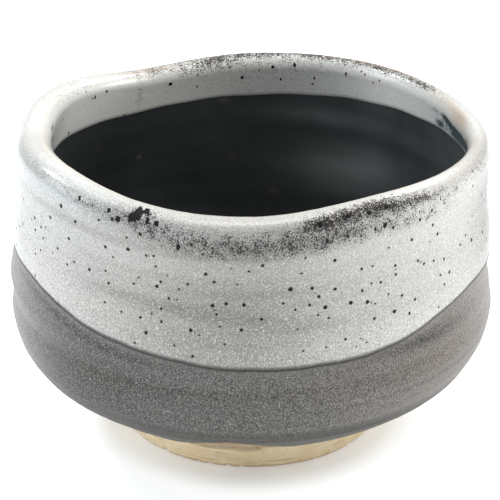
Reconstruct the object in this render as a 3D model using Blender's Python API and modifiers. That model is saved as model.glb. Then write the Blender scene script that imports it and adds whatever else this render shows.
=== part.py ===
"""Matcha bowl: a thrown and hand-pressed stoneware tea bowl on a turned foot, with three glazes.

The frame: the origin is on the floor under the middle of the bowl, +Z is up, and the side that a
guest looks at faces -Y. Sizes are in millimetres and angles in degrees, counted from +X towards +Y.
Every surface comes from one section of the wall. Each coat of glaze is a stretch of that section,
turned on the wheel's axis, and the same press of the hands then moves the clay and the glazes.
"""

import math

import bmesh
import bpy
import numpy as np

MM = 0.001
TURN_STEPS = 48
MERGE = 0.00001
SHARP_ANGLE = 50.0
GAP = 0.3
GLAZE_THICK = 0.7

# The section of the wall with its glaze on: (radius, height), from the foot up the outside.
OUTSIDE = [
    (34.2, 6.6), (39.0, 9.2), (44.2, 12.2), (50.3, 16.2), (55.9, 21.2),
    (59.2, 28.2), (60.2, 37.2), (58.9, 47.2), (58.0, 58.2), (57.5, 68.2),
]
LIP_MIDDLE_RADIUS = 53.9
LIP_MIDDLE_HEIGHT = 73.3
LIP_ROUND = 3.5
INSIDE = [
    (51.3, 66.2), (52.0, 57.2), (52.9, 47.2), (53.2, 38.2), (51.4, 29.2), (46.3, 21.7),
    (38.0, 16.2), (27.0, 13.0), (14.0, 11.6), (0.0, 11.2),
]
LIP_POINTS = 25
OUTSIDE_STEP = 3.2
INSIDE_STEP = 6.0
LIP_STEP = 2.0
RIM_HEIGHT = LIP_MIDDLE_HEIGHT + LIP_ROUND
RIM_RADIUS = LIP_MIDDLE_RADIUS + LIP_ROUND

# The flat underside that the foot is joined to, and the hollow that is turned out inside the foot.
UNDERSIDE_HEIGHT = 6.6
UNDERSIDE_ROUND = 0.5
UNDERSIDE_SLOPE = 1.3
RECESS_RADIUS = 23.5
RECESS_BEVEL = 2.0
RECESS_HEIGHT = 7.8

FOOT_HEIGHT = UNDERSIDE_HEIGHT - GAP
FOOT_TOP_RADIUS = 33.4
FOOT_WAIST_RADIUS = 33.3
FOOT_BOTTOM_RADIUS = 32.4
FOOT_BEVEL_HEIGHT = 1.3
FOOT_INNER_TOP_RADIUS = 24.4
FOOT_INNER_BOTTOM_RADIUS = 25.8
FOOT_WANDER = 0.35

# How the thrown rim was pressed: its outer radius and its crest's height every 30 degrees.
PRESSED_RADIUS = [57.6, 55.8, 57.3, 57.0, 56.8, 59.2, 56.8, 58.3, 56.5, 58.4, 58.0, 57.3]
PRESSED_HEIGHT = [75.9, 76.6, 76.4, 76.0, 74.7, 77.0, 77.3, 79.2, 76.0, 76.4, 78.5, 77.2]
PRESS_FROM_HEIGHT = 43.2
LEAN = 0.3
LEAN_HEIGHTS = (11.2, 41.2)

# The lip is thicker on the left than on the right, and a little thicker at the front.
LIP_THICKER_LEFT = 0.23
LIP_THICKER_FRONT = 0.09
LIP_THICKER_HEIGHTS = (55.2, 74.2)

# Grooves that the fingers left outside: (height, half width, depth on the left, depth on the right).
GROOVES = [(36.6, 3.2, 0.9, 0.8), (42.0, 3.8, -0.2, 1.2), (61.8, 5.1, 0.5, 0.5)]
GROOVES_FADE_IN_WALL = (1.5, 4.5)

# Where the white glaze ends outside, every 30 degrees: it runs lowest at the front.
GLAZE_LINE = [47.8, 48.8, 49.8, 50.2, 49.8, 49.4, 49.4, 48.9, 43.8, 41.3, 42.2, 47.6]
GLAZE_LINE_THROWN = 46.2
# Where the white glaze ends inside, every 30 degrees.
INNER_LINE = [68.8, 68.3, 66.8, 66.0, 65.8, 64.4, 64.4, 64.8, 65.2, 66.2, 67.4, 68.4]
INNER_LINE_THROWN = 66.2
# The heights where the coats stop following their edges: the white's, the grey's and the black's.
WHITE_LEVEL_HEIGHT = 71.2
GREY_LEVEL_HEIGHT = 26.2
BLACK_LEVEL_HEIGHT = 31.2
# Where the grey glaze ends above the foot, with the bare arch that was wiped at the front.
BARE_LINE_THROWN = 12.8
BARE_ARCH_RISE = 7.4
BARE_ARCH_HEADING = 265.0
BARE_ARCH_WIDTH = 14.0


def smooth_step(low, high, value):
    """0 below low, 1 above high, and a smooth rise between them."""
    share = np.clip((value - low) / (high - low), 0.0, 1.0)
    return share * share * (3.0 - 2.0 * share)


def round_the_bowl(values, angle):
    """A smooth closed curve through values spaced evenly round the bowl, read at angle (radians)."""
    values = np.asarray(values)
    place = (angle / (2.0 * math.pi) * len(values)) % len(values)
    first = np.floor(place).astype(int)
    t = place - first
    before, here, after, beyond = (values[(first + k) % len(values)] for k in (-1, 0, 1, 2))
    bend = 2.0 * before - 5.0 * here + 4.0 * after - beyond
    twist = 3.0 * (here - after) + beyond - before
    return here + 0.5 * t * (after - before + t * (bend + t * twist))


def smooth_line(points, per_span=8):
    """A smooth open line through the points."""
    points = np.asarray(points, float)
    padded = np.vstack([2 * points[0] - points[1], points, 2 * points[-1] - points[-2]])
    t = (np.arange(per_span) / per_span)[:, None]
    line = []
    for before, here, after, beyond in zip(padded, padded[1:], padded[2:], padded[3:]):
        bend = 2.0 * before - 5.0 * here + 4.0 * after - beyond
        twist = 3.0 * (here - after) + beyond - before
        line.append(here + 0.5 * t * (after - before + t * (bend + t * twist)))
    return np.vstack(line + [points[-1:]])


def spaced(line, step):
    """The same line with points about one step apart."""
    along = np.concatenate([[0.0], np.cumsum(np.linalg.norm(np.diff(line, axis=0), axis=1))])
    stops = np.linspace(0.0, along[-1], max(2, round(along[-1] / step)) + 1)
    return np.stack([np.interp(stops, along, line[:, k]) for k in (0, 1)], axis=1)


def lip_arc():
    """The round of the lip, from its inner side over the crest to its outer side."""
    turns = np.linspace(math.pi, 0.0, LIP_POINTS)
    return np.stack([
        LIP_MIDDLE_RADIUS + LIP_ROUND * np.cos(turns),
        LIP_MIDDLE_HEIGHT + LIP_ROUND * np.sin(turns),
    ], axis=1)


def inner_wall():
    """The inside of the wall, from the middle of the floor up to the lip."""
    return smooth_line(INSIDE[::-1] + [tuple(lip_arc()[0])])


def outer_wall():
    """The outside of the wall, from the lip down to the foot."""
    return smooth_line([tuple(lip_arc()[-1])] + OUTSIDE[::-1])


def cut_at_height(line, height):
    """The line in two, with a shared point where it crosses the height."""
    above = line[:, 1] > height
    k = int(np.nonzero(above[1:] != above[:-1])[0][0])
    share = (height - line[k, 1]) / (line[k + 1, 1] - line[k, 1])
    crossing = line[k] + share * (line[k + 1] - line[k])
    return np.vstack([line[: k + 1], crossing]), np.vstack([crossing, line[k + 1:]])


def outside_radius(height):
    """The radius of the thrown outside at each height. Above the wall it is the lip's."""
    wall = outer_wall()[::-1]
    return np.interp(height, wall[:, 1], wall[:, 0])


def inside_radius(height):
    """The radius of the thrown inside at each height."""
    wall = inner_wall()
    return np.interp(height, wall[:, 1], wall[:, 0])


def set_back(line, depth):
    """The line moved into the clay by depth, square to itself."""
    along = np.gradient(line, axis=0)
    along /= np.linalg.norm(along, axis=1)[:, None]
    into_clay = np.stack([-along[:, 1], along[:, 0]], axis=1)
    moved = line - depth * into_clay
    moved[line[:, 0] == 0.0, 0] = 0.0
    return moved


def coat_section(line):
    """A closed section: the face of the glaze along the line, and its back against the clay."""
    return np.vstack([line, set_back(line, GLAZE_THICK)[::-1]])


def groove_depth(height, angle, depth_in_wall):
    """How deep the finger grooves are. They fade out inside the wall, so they don't reach the inside."""
    left = 0.5 - 0.5 * np.cos(angle)
    depth = np.zeros_like(height)
    for middle, half_width, on_left, on_right in GROOVES:
        fade = np.exp(-(((height - middle) / half_width) ** 2))
        depth += (on_left * left + on_right * (1.0 - left)) * fade
    return depth * (1.0 - smooth_step(*GROOVES_FADE_IN_WALL, depth_in_wall))


def press(radius, height, angle):
    """Moves points of the thrown bowl to where the hands left them."""
    depth_in_wall = outside_radius(height) - radius
    thicker = -LIP_THICKER_LEFT * np.cos(angle) - LIP_THICKER_FRONT * np.sin(angle)
    radius = radius - depth_in_wall * thicker * smooth_step(*LIP_THICKER_HEIGHTS, height)
    radius = radius - groove_depth(height, angle, depth_in_wall)
    radius = radius + LEAN * np.cos(angle) * smooth_step(*LEAN_HEIGHTS, height)
    hold = smooth_step(PRESS_FROM_HEIGHT, RIM_HEIGHT, height)
    radius = radius + hold * (round_the_bowl(PRESSED_RADIUS, angle) - RIM_RADIUS)
    height = height + hold * (round_the_bowl(PRESSED_HEIGHT, angle) - RIM_HEIGHT)
    return radius, height


def slide(height, angle, line, thrown, fixed):
    """Slides the heights between a glaze's edge and a fixed height, so that the edge meets its line."""
    reach = np.clip((fixed - height) / (fixed - thrown), 0.0, 1.0)
    return height + reach * (line(angle) - thrown)


def glaze_line(angle):
    return round_the_bowl(GLAZE_LINE, angle)


def inner_line(angle):
    return round_the_bowl(INNER_LINE, angle)


def bare_line(angle):
    """The height where the grey glaze ends, with its arch at the front."""
    off = np.degrees(angle) % 360.0 - BARE_ARCH_HEADING
    return BARE_LINE_THROWN + BARE_ARCH_RISE * np.exp(-((off / BARE_ARCH_WIDTH) ** 2))


def new_material(name, colour, roughness):
    material = bpy.data.materials.new(name)
    material.use_nodes = True
    shader = material.node_tree.nodes["Principled BSDF"]
    shader.inputs["Base Color"].default_value = (*colour, 1.0)
    shader.inputs["Roughness"].default_value = roughness
    shader.inputs["Metallic"].default_value = 0.0
    return material


def turned(name, section, closed, material, collection):
    """A section turned round the bowl's axis. The section runs down its outer side."""
    mesh = bpy.data.meshes.new(name + "_section")
    count = len(section)
    edges = [(k, k + 1) for k in range(count - 1)] + ([(count - 1, 0)] if closed else [])
    mesh.from_pydata([(r * MM, 0.0, z * MM) for r, z in section], edges, [])
    wheel = bpy.data.objects.new(name + "_wheel", mesh)
    collection.objects.link(wheel)
    screw = wheel.modifiers.new("Turn", "SCREW")
    screw.axis = "Z"
    screw.steps = TURN_STEPS
    screw.render_steps = TURN_STEPS
    screw.use_merge_vertices = True
    screw.merge_threshold = MERGE
    graph = bpy.context.evaluated_depsgraph_get()
    solid = bpy.data.meshes.new_from_object(wheel.evaluated_get(graph))
    bpy.data.objects.remove(wheel)
    bpy.data.meshes.remove(mesh)
    clean = bmesh.new()
    clean.from_mesh(solid)
    bmesh.ops.remove_doubles(clean, verts=clean.verts, dist=MERGE)
    clean.to_mesh(solid)
    clean.free()
    solid.name = name
    solid.materials.append(material)
    solid.shade_smooth()
    solid.set_sharp_from_angle(angle=math.radians(SHARP_ANGLE))
    thing = bpy.data.objects.new(name, solid)
    collection.objects.link(thing)
    return thing


def reshape(thing, move):
    """Moves every point of the mesh by a rule on its radius, height and angle."""
    mesh = thing.data
    flat = np.empty(len(mesh.vertices) * 3, np.float32)
    mesh.vertices.foreach_get("co", flat)
    x, y, z = (flat.reshape(-1, 3).astype(float) / MM).T
    angle = np.arctan2(y, x) % (2.0 * math.pi)
    radius, height = move(np.hypot(x, y), z, angle)
    moved = np.stack([radius * np.cos(angle), radius * np.sin(angle), height], axis=1) * MM
    mesh.vertices.foreach_set("co", moved.astype(np.float32).ravel())
    mesh.update()


def make_clay_body(collection):
    """The thrown bowl: floor, wall and lip, with the flat underside that the foot is joined to."""
    inside, outside = spaced(inner_wall(), INSIDE_STEP), spaced(outer_wall(), OUTSIDE_STEP)
    face = np.vstack([inside, spaced(lip_arc(), LIP_STEP)[1:-1], outside])
    clay = set_back(face, GLAZE_THICK + GAP)
    clay = clay[clay[:, 1] > UNDERSIDE_HEIGHT + UNDERSIDE_ROUND]
    last_radius, last_height = clay[-1]
    edge_of_base = (last_radius - (last_height - UNDERSIDE_HEIGHT) * UNDERSIDE_SLOPE, UNDERSIDE_HEIGHT)
    recess = [(RECESS_RADIUS, UNDERSIDE_HEIGHT), (RECESS_RADIUS - RECESS_BEVEL, RECESS_HEIGHT)]
    section = np.vstack([clay, [edge_of_base], recess, [(0.0, RECESS_HEIGHT)]])
    clay = new_material("clay", (0.62, 0.50, 0.33), 0.85)
    body = turned("clay_body", section, False, clay, collection)
    reshape(body, press)


def make_foot_ring(collection):
    """The turned foot. The trimming tool wandered a little along its lower outer edge."""
    section = [
        (FOOT_TOP_RADIUS, FOOT_HEIGHT),
        (FOOT_WAIST_RADIUS, FOOT_BEVEL_HEIGHT),
        (FOOT_BOTTOM_RADIUS, 0.0),
        (FOOT_INNER_BOTTOM_RADIUS, 0.0),
        (FOOT_INNER_TOP_RADIUS, FOOT_BEVEL_HEIGHT),
        (FOOT_INNER_TOP_RADIUS, FOOT_HEIGHT),
    ]
    foot = new_material("foot", (0.75, 0.63, 0.42), 0.85)
    ring = turned("foot_ring", section, True, foot, collection)

    def trim(radius, height, angle):
        outer = smooth_step(FOOT_INNER_BOTTOM_RADIUS, FOOT_BOTTOM_RADIUS, radius)
        low = 1.0 - smooth_step(FOOT_BEVEL_HEIGHT, FOOT_HEIGHT, height)
        wander = np.sin(3.0 * angle + 0.7) + 0.5 * np.sin(7.0 * angle)
        return radius - FOOT_WANDER * outer * low * (0.5 + 0.5 * wander), height

    reshape(ring, trim)


def make_inner_black_glaze(collection):
    """The dark liner, from the middle of the floor up to the white glaze."""
    low, _ = cut_at_height(inner_wall(), INNER_LINE_THROWN - 0.5 * GAP)
    section = coat_section(spaced(low, INSIDE_STEP))
    black = new_material("black_glaze", (0.02, 0.022, 0.025), 0.4)
    coat = turned("inner_black_glaze", section, False, black, collection)

    def follow(radius, height, angle):
        top = slide(height, angle, inner_line, INNER_LINE_THROWN, BLACK_LEVEL_HEIGHT)
        lifted = radius + inside_radius(top) - inside_radius(height)
        upper = height > BLACK_LEVEL_HEIGHT
        return press(np.where(upper, lifted, radius), np.where(upper, top, height), angle)

    reshape(coat, follow)


def make_outer_grey_glaze(collection):
    """The grey coat on the lower outside, from the white glaze down to the bare clay."""
    _, low = cut_at_height(outer_wall(), GLAZE_LINE_THROWN - 0.5 * GAP)
    face, _ = cut_at_height(low, BARE_LINE_THROWN)
    section = coat_section(spaced(face, OUTSIDE_STEP))
    grey = new_material("grey_glaze", (0.13, 0.13, 0.128), 0.5)
    coat = turned("outer_grey_glaze", section, True, grey, collection)

    def follow(radius, height, angle):
        moved = slide(height, angle, glaze_line, GLAZE_LINE_THROWN, GREY_LEVEL_HEIGHT)
        moved = slide(moved, angle, bare_line, BARE_LINE_THROWN, GREY_LEVEL_HEIGHT)
        return press(radius + outside_radius(moved) - outside_radius(height), moved, angle)

    reshape(coat, follow)


def make_rim_white_glaze(collection):
    """The white coat over the lip, down to its line outside and a short way down inside."""
    _, high = cut_at_height(inner_wall(), INNER_LINE_THROWN + 0.5 * GAP)
    out, _ = cut_at_height(outer_wall(), GLAZE_LINE_THROWN + 0.5 * GAP)
    lip = spaced(lip_arc(), LIP_STEP)[1:-1]
    face = np.vstack([spaced(high, INSIDE_STEP), lip, spaced(out, OUTSIDE_STEP)])
    white = new_material("white_glaze", (0.68, 0.68, 0.66), 0.3)
    coat = turned("rim_white_glaze", coat_section(face), True, white, collection)

    def follow(radius, height, angle):
        outer = radius > LIP_MIDDLE_RADIUS
        down_outside = slide(height, angle, glaze_line, GLAZE_LINE_THROWN, WHITE_LEVEL_HEIGHT)
        down_inside = slide(height, angle, inner_line, INNER_LINE_THROWN, WHITE_LEVEL_HEIGHT)
        moved = np.where(outer, down_outside, down_inside)
        shift_out = outside_radius(moved) - outside_radius(height)
        shift_in = inside_radius(moved) - inside_radius(height)
        return press(radius + np.where(outer, shift_out, shift_in), moved, angle)

    reshape(coat, follow)


def main():
    for thing in list(bpy.data.objects):
        bpy.data.objects.remove(thing)
    bowl = bpy.data.collections.new("matcha_bowl")
    bpy.context.scene.collection.children.link(bowl)
    make_clay_body(bowl)
    make_foot_ring(bowl)
    make_inner_black_glaze(bowl)
    make_outer_grey_glaze(bowl)
    make_rim_white_glaze(bowl)


main()
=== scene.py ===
"""The looks of the matcha bowl: a hand-pressed stoneware tea bowl with white, grey and black glazes.

The frame is the CAD's: the origin is on the floor under the middle of the bowl, +Z is up and the
guest's side faces -Y. The shape of the bowl is worked out in millimetres. A place on it is given by
its heading, counted from +X towards +Y, and by its distance along the thrown section, which is 0 on
the crest of the lip, positive down the outside and negative down the inside.
"""

import math

import bpy
import numpy as np
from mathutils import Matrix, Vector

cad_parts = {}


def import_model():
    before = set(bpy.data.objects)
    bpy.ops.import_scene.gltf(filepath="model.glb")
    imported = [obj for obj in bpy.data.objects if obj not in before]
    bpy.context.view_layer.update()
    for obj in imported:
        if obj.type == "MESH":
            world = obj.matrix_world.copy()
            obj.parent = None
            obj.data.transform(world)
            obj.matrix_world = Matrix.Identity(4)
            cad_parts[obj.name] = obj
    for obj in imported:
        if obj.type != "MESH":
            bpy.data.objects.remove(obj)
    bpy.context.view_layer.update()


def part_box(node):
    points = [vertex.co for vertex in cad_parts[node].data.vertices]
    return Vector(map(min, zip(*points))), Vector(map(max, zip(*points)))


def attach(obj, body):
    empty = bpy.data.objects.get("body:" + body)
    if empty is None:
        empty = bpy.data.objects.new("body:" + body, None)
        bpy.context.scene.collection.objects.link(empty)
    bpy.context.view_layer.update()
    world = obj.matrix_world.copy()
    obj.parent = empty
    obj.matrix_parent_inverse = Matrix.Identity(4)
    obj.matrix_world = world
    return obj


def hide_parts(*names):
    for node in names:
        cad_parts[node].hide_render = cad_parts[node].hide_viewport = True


MM = 0.001

# The thrown section with its glaze on, as in the CAD: (radius, height).
OUTSIDE = [
    (34.2, 6.6), (39.0, 9.2), (44.2, 12.2), (50.3, 16.2), (55.9, 21.2),
    (59.2, 28.2), (60.2, 37.2), (58.9, 47.2), (58.0, 58.2), (57.5, 68.2),
]
LIP_MIDDLE_RADIUS = 53.9
LIP_MIDDLE_HEIGHT = 73.3
LIP_ROUND = 3.5
INSIDE = [
    (51.3, 66.2), (52.0, 57.2), (52.9, 47.2), (53.2, 38.2), (51.4, 29.2), (46.3, 21.7),
    (38.0, 16.2), (27.0, 13.0), (14.0, 11.6), (0.0, 11.2),
]
RIM_HEIGHT = LIP_MIDDLE_HEIGHT + LIP_ROUND
RIM_RADIUS = LIP_MIDDLE_RADIUS + LIP_ROUND
UNDERSIDE_HEIGHT = 6.6
RECESS_RADIUS = 23.5
RECESS_HEIGHT = 7.8

# How the hands pressed it, as in the CAD: values every 30 degrees from +X.
PRESSED_RADIUS = [57.6, 55.8, 57.3, 57.0, 56.8, 59.2, 56.8, 58.3, 56.5, 58.4, 58.0, 57.3]
PRESSED_HEIGHT = [75.9, 76.6, 76.4, 76.0, 74.7, 77.0, 77.3, 79.2, 76.0, 76.4, 78.5, 77.2]
PRESS_FROM_HEIGHT = 43.2
LEAN = 0.3
LEAN_HEIGHTS = (11.2, 41.2)
LIP_THICKER_LEFT = 0.23
LIP_THICKER_FRONT = 0.09
LIP_THICKER_HEIGHTS = (55.2, 74.2)
GROOVES = [(36.6, 3.2, 0.9, 0.8), (42.0, 3.8, -0.2, 1.2), (61.8, 5.1, 0.5, 0.5)]
GROOVES_FADE_IN_WALL = (1.5, 4.5)

# Where the glazes end, as in the CAD: heights every 30 degrees from +X.
GLAZE_LINE = [47.8, 48.8, 49.8, 50.2, 49.8, 49.4, 49.4, 48.9, 43.8, 41.3, 42.2, 47.6]
INNER_LINE = [68.8, 68.3, 66.8, 66.0, 65.8, 64.4, 64.4, 64.8, 65.2, 66.2, 67.4, 68.4]
GLAZE_LINE_THROWN = 46.2
INNER_LINE_THROWN = 66.2
BARE_LINE = 12.8
BARE_ARCH_RISE = 7.4
BARE_ARCH_HEADING = 265.0
BARE_ARCH_WIDTH = 14.0
LEDGE_FROM = 250.0
LEDGE_TO = 273.4
LEDGE_FADE_IN = 9.0
LEDGE_FADE_OUT = 0.8
LEDGE_HEIGHT = 14.6
LEDGE_OUT = 1.3
LEDGE_SPREAD = 1.3
LEDGE_FROM_RADIUS = 36.0

# How deep each surface lies under the thrown section, and how far the backs are buried.
WHITE_DEPTH = 0.0
GREY_DEPTH = 0.15
BLACK_DEPTH = 0.15
CLAY_DEPTH = 0.35
BACK_DEPTH = 0.6
EDGE_ROUND = 0.35
UNDER_WHITE = 2.0

SPECK_SEED = 41
SPECK_WALL_RADIUS = 58.0
SPECK_CLEARANCE = 1.3
PRESS_SEED = 7

# The floor glows as painted light, and glows less under the bowl as a painted shadow: (near, far, its glow
# there and there).
FLOOR_GLOW = (0.036, 0.044, 0.28, 0.62)

# The camera: its place in metres, how many degrees it looks down, its lens and its sensor's width.
CAMERA_PLACE = (-0.0002, -0.448, 0.2528)
CAMERA_PITCH = 25.06
CAMERA_LENS = 143.0
CAMERA_SENSOR = 36.0


# ---- the shape of the bowl ----------------------------------------------------------------------

def smooth_step(low, high, value):
    """0 below low, 1 above high, and a smooth rise between them."""
    share = np.clip((value - low) / (high - low), 0.0, 1.0)
    return share * share * (3.0 - 2.0 * share)


def round_the_bowl(values, angle):
    """A smooth closed curve through values spaced evenly round the bowl, read at angle (radians)."""
    values = np.asarray(values)
    place = (angle / (2.0 * math.pi) * len(values)) % len(values)
    first = np.floor(place).astype(int)
    t = place - first
    before, here, after, beyond = (values[(first + k) % len(values)] for k in (-1, 0, 1, 2))
    bend = 2.0 * before - 5.0 * here + 4.0 * after - beyond
    twist = 3.0 * (here - after) + beyond - before
    return here + 0.5 * t * (after - before + t * (bend + t * twist))


def smooth_line(points, per_span=40):
    """A smooth open line through the points."""
    points = np.asarray(points, float)
    padded = np.vstack([2 * points[0] - points[1], points, 2 * points[-1] - points[-2]])
    t = (np.arange(per_span) / per_span)[:, None]
    line = []
    for before, here, after, beyond in zip(padded, padded[1:], padded[2:], padded[3:]):
        bend = 2.0 * before - 5.0 * here + 4.0 * after - beyond
        twist = 3.0 * (here - after) + beyond - before
        line.append(here + 0.5 * t * (after - before + t * (bend + t * twist)))
    return np.vstack(line + [points[-1:]])


class Section:
    """The thrown section as one line, read by the distance along it from the crest of the lip."""

    def __init__(self):
        turns = np.linspace(math.pi, 0.0, 121)
        arc = np.stack([
            LIP_MIDDLE_RADIUS + LIP_ROUND * np.cos(turns),
            LIP_MIDDLE_HEIGHT + LIP_ROUND * np.sin(turns),
        ], axis=1)
        inner = smooth_line(INSIDE[::-1] + [tuple(arc[0])])
        outer = smooth_line([tuple(arc[-1])] + OUTSIDE[::-1])
        self.line = np.vstack([inner[:-1], arc, outer[1:]])
        steps = np.linalg.norm(np.diff(self.line, axis=0), axis=1)
        self.along = np.concatenate([[0.0], np.cumsum(steps)])
        self.along -= self.along[len(inner) - 1 + 60]
        run = np.gradient(self.line, axis=0)
        run /= np.linalg.norm(run, axis=1)[:, None]
        self.out = np.stack([-run[:, 1], run[:, 0]], axis=1)
        self.outer_wall = outer[::-1]
        self.first, self.last = self.along[0], self.along[-1]
        self.outer_along = self.along[-len(outer):][::-1]
        self.inner_wall, self.inner_along = inner, self.along[:len(inner)]

    def point(self, along, depth):
        """Radius and height at a distance along the section, depth under its surface."""
        read = [np.interp(along, self.along, v) for v in (*self.line.T, *self.out.T)]
        return read[0] - depth * read[2], read[1] - depth * read[3]

    def outside_radius(self, height):
        return np.interp(height, self.outer_wall[:, 1], self.outer_wall[:, 0])

    def along_outside(self, height):
        return np.interp(height, self.outer_wall[:, 1], self.outer_along)

    def along_inside(self, height):
        return np.interp(height, self.inner_wall[:, 1], self.inner_along)


SECTION = Section()


def groove_depth(height, angle, depth_in_wall):
    left = 0.5 - 0.5 * np.cos(angle)
    depth = np.zeros_like(height)
    for middle, half_width, on_left, on_right in GROOVES:
        fade = np.exp(-(((height - middle) / half_width) ** 2))
        depth += (on_left * left + on_right * (1.0 - left)) * fade
    return depth * (1.0 - smooth_step(*GROOVES_FADE_IN_WALL, depth_in_wall))


def press(radius, height, angle):
    """Moves points of the thrown bowl to where the hands left them."""
    depth_in_wall = SECTION.outside_radius(height) - radius
    thicker = -LIP_THICKER_LEFT * np.cos(angle) - LIP_THICKER_FRONT * np.sin(angle)
    radius = radius - depth_in_wall * thicker * smooth_step(*LIP_THICKER_HEIGHTS, height)
    radius = radius - groove_depth(height, angle, depth_in_wall)
    radius = radius + LEAN * np.cos(angle) * smooth_step(*LEAN_HEIGHTS, height)
    hold = smooth_step(PRESS_FROM_HEIGHT, RIM_HEIGHT, height)
    radius = radius + hold * (round_the_bowl(PRESSED_RADIUS, angle) - RIM_RADIUS)
    height = height + hold * (round_the_bowl(PRESSED_HEIGHT, angle) - RIM_HEIGHT)
    return radius, height


def bare_line(angle):
    off = np.degrees(angle) % 360.0 - BARE_ARCH_HEADING
    return BARE_LINE + BARE_ARCH_RISE * np.exp(-((off / BARE_ARCH_WIDTH) ** 2))


def ledge_share(angle):
    """1 along the ledge of clay that the trimming tool left over the foot. It stops at a step."""
    degrees = np.degrees(angle) % 360.0
    begins = smooth_step(LEDGE_FROM, LEDGE_FROM + LEDGE_FADE_IN, degrees)
    ends = smooth_step(LEDGE_TO - LEDGE_FADE_OUT, LEDGE_TO, degrees)
    return begins * (1.0 - ends)


def grain_field(angle, along, cells_round, cell, seed):
    """Smooth random hills from -1 to 1, about cell millimetres apart, that close round the bowl."""
    random = np.random.default_rng(seed)
    table = random.uniform(-1.0, 1.0, (257, cells_round))
    x = (angle / (2.0 * math.pi) * cells_round) % cells_round
    y = (along / cell + 128.0) % 256.0
    i, j = np.floor(x).astype(int), np.floor(y).astype(int)
    u, v = smooth_step(0.0, 1.0, x - i), smooth_step(0.0, 1.0, y - j)
    i, after = i % cells_round, (i + 1) % cells_round
    low = table[j, i] * (1.0 - u) + table[j, after] * u
    high = table[j + 1, i] * (1.0 - u) + table[j + 1, after] * u
    return low * (1.0 - v) + high * v


def throwing_rings(angle, along):
    """The ridges that the potter's fingers left outside, in millimetres."""
    drift = 0.9 * np.sin(angle + 0.6) + 0.5 * np.sin(2.0 * angle + 2.0)
    wide = np.sin(2.0 * math.pi * along / 7.3 + drift)
    narrow = np.sin(2.0 * math.pi * along / 3.1 + 2.0 * drift + 1.0)
    strength = 0.65 + 0.35 * grain_field(angle, along, 9, 14.0, PRESS_SEED)
    below_lip = smooth_step(6.0, 11.0, along) * (1.0 - smooth_step(66.0, 72.0, along))
    return below_lip * strength * (0.07 * wide + 0.05 * narrow)


def relief(angle, along):
    """How far the surface stands out of the thrown section, in millimetres."""
    hands = 0.10 * grain_field(angle, along, 14, 11.0, PRESS_SEED + 1)
    peel = 0.022 * grain_field(angle, along, 190, 1.9, PRESS_SEED + 2)
    inside = 1.0 - smooth_step(-16.0, -10.0, along)
    rings = 0.045 * np.sin(2.0 * math.pi * along / 7.4 + 0.7 * np.sin(angle + 2.2)) * inside
    floor_fade = smooth_step(SECTION.first + 4.0, SECTION.first + 16.0, along)
    return (hands + peel + rings) * floor_fade + throwing_rings(angle, along)


def place(along, depth, angle):
    """Where a point of a coat is, in metres: its distance along, its depth and its heading."""
    radius, height = SECTION.point(along, depth - relief(angle, along))
    radius, height = press(np.maximum(radius, 0.0), height, angle)
    return np.stack([radius * np.cos(angle), radius * np.sin(angle), height], axis=-1) * MM


# ---- meshes -------------------------------------------------------------------------------------

def ring_mesh(name, points, closed=True):
    """A mesh from rows of points round the bowl. Its section closes, or both ends run to a pole."""
    rows, columns, _ = points.shape
    flat = points.reshape(-1, 3)
    index = np.arange(rows * columns).reshape(rows, columns)
    after = np.roll(index, -1, axis=1)
    if closed:
        low, high = index, np.roll(index, -1, axis=0)
        low_after, high_after = after, np.roll(after, -1, axis=0)
    else:
        low, high, low_after, high_after = index[:-1], index[1:], after[:-1], after[1:]
    faces = np.stack([low, low_after, high_after, high], axis=-1).reshape(-1, 4).tolist()
    if not closed:
        ends = np.stack([points[0].mean(axis=0), points[-1].mean(axis=0)])
        flat = np.vstack([flat, ends])
        first, last = rows * columns, rows * columns + 1
        faces += [[first, b, a] for a, b in zip(index[0].tolist(), after[0].tolist())]
        faces += [[last, a, b] for a, b in zip(index[-1].tolist(), after[-1].tolist())]
    mesh = bpy.data.meshes.new(name)
    mesh.from_pydata(flat.tolist(), [], faces)
    mesh.update()
    if signed_volume(flat, faces) < 0.0:
        mesh.flip_normals()
    mesh.shade_smooth()
    thing = bpy.data.objects.new(name, mesh)
    bpy.context.scene.collection.objects.link(thing)
    return thing


def signed_volume(points, faces):
    """Above 0 where the faces point out."""
    quads = np.array([face for face in faces if len(face) == 4])
    a, b, c, d = (points[quads[:, k]] for k in range(4))
    return float(np.einsum("ij,ij->", a, np.cross(b, c) + np.cross(c, d)))


def add_numbers(thing, poles=0, **fields):
    """Writes a number or a vector for each point of the mesh, for its material to read."""
    for name, values in fields.items():
        vector = values.ndim == 3
        kind, key = ("FLOAT_VECTOR", "vector") if vector else ("FLOAT", "value")
        flat = values.reshape(-1, 3) if vector else values.reshape(-1, 1)
        if poles:
            flat = np.vstack([flat, flat[:1], flat[-1:]])
        attribute = thing.data.attributes.new(name, kind, "POINT")
        attribute.data.foreach_set(key, flat.astype(np.float32).ravel())


def spread(first, last, step):
    return np.linspace(first, last, max(2, round(abs(last - first) / step)) + 1)


def coat_rows(first, last, step, fixed):
    """The rows of a coat's section between its two edges: (share kept of each edge's shift, distance
    along, depth over the face). The face bulges a little at each edge and rounds into the clay."""
    face = spread(first, last, step)
    turn = np.linspace(0.0, 0.5 * math.pi, 6)[1:]
    deep = BACK_DEPTH
    rows = [(s, -0.05 * math.exp(-(((s - first) / 1.1) ** 2)) - 0.05 * math.exp(-(((last - s) / 1.1) ** 2)))
            for s in face]
    rows += [(last + EDGE_ROUND * math.sin(t), deep - (deep + 0.05) * math.cos(t)) for t in turn]
    rows += [(s, deep) for s in spread(last, first, 3.5)[1:-1]]
    rows += [(first - EDGE_ROUND * math.sin(t), deep - (deep + 0.05) * math.cos(t)) for t in turn[::-1]]
    along, depth = np.array(rows).T
    low = np.clip((fixed - along) / (fixed - first), 0.0, None) * (along < fixed)
    high = np.clip((along - fixed) / (last - fixed), 0.0, None) * (along >= fixed)
    return along, depth, low, high


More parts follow.
